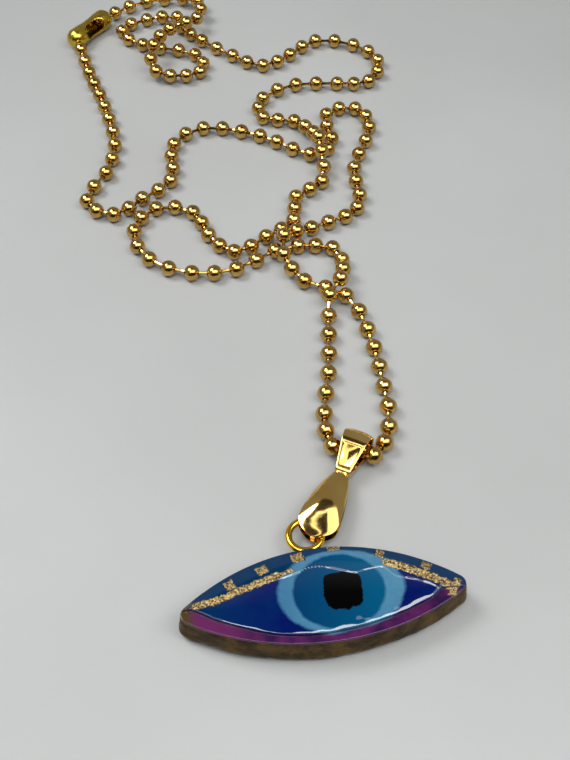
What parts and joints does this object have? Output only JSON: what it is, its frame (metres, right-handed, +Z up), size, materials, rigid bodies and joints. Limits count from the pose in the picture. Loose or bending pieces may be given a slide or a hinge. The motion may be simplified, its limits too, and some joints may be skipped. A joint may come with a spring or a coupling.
{
  "type": "evil eye pendant necklace",
  "caption": "Almond-shaped eye charm with a domed clear face, hung by a round wire eye and a teardrop pinch bail on a closed ball chain.",
  "frame": {"origin": "middle of the pendant's flat back, on the surface that the necklace lies on", "axes": "+Z up from the surface; X along the pendant's long axis; +Y from the pendant towards the bail and the chain"},
  "size_m": [0.055, 0.1305, 0.0053],
  "materials": {
    "slab": "hand-painted bronze gold edge and back",
    "resin": "painted eye under clear glossy resin",
    "gold": "polished gold plate",
    "chain": "polished gold plate, slightly worn",
    "clasp": "satin yellow brass"
  },
  "bodies": {
    "root": {"pendant_base": "slab", "eye_dome": "resin", "screw_eye": "gold", "pinch_bail": "gold", "bail_loop": "gold", "chain_balls": "chain", "chain_wire": "chain", "clasp": "clasp"}
  },
  "joints": []
}
